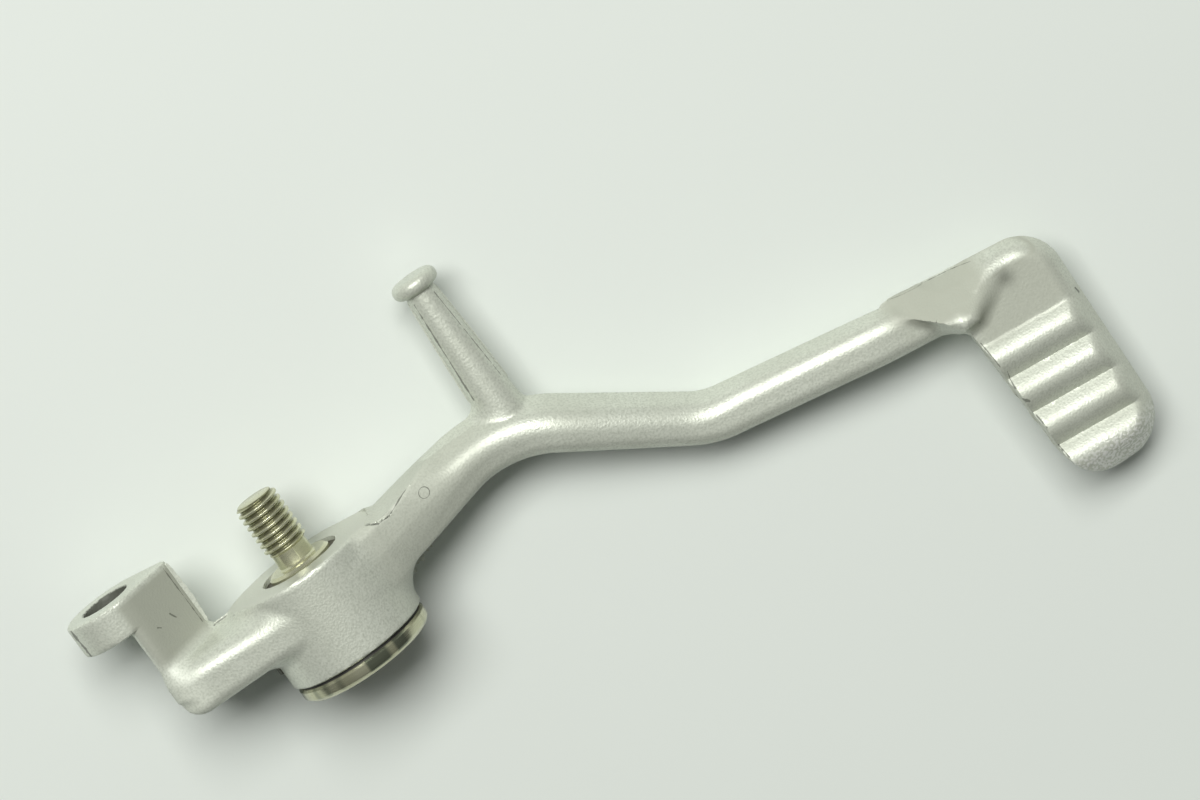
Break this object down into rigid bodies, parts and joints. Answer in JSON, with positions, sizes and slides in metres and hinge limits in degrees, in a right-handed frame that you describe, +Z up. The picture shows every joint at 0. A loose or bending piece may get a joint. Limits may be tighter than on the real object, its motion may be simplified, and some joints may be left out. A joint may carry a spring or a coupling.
{
  "type": "rear brake pedal",
  "caption": "Motorbike rear brake pedal: a bent cast lever with a ribbed foot pad, a spring post and a rear eye for the brake rod, turning on its own threaded pivot bolt.",
  "frame": {"origin": "on the pivot axis at the bolt's seat, the shoulder that meets the motorbike", "axes": "+Y along the pivot bolt towards its thread, +X forward to the foot pad, +Z up"},
  "size_m": [0.1761, 0.0981, 0.0264],
  "materials": {
    "silver_casting": "cast aluminium under satin silver paint",
    "dark_bronze": "oiled dark bronze",
    "dark_steel": "blackened steel",
    "zinc_plated_steel": "turned steel with yellowish zinc plate",
    "black_plastic": "black plastic"
  },
  "bodies": {
    "pivot": {"pivot_bolt": "zinc_plated_steel", "thrust_washer": "black_plastic"},
    "lever": {"pedal_lever": "silver_casting", "inner_bush": "dark_bronze", "outer_bush": "dark_bronze", "stop_pin": "dark_steel"}
  },
  "joints": [
    {"name": "pedal_hinge", "type": "hinge", "parent": "pivot", "child": "lever", "pos_m": [0, 0, 0], "axis": [0, 1, 0], "range_deg": [-15, 0]}
  ]
}
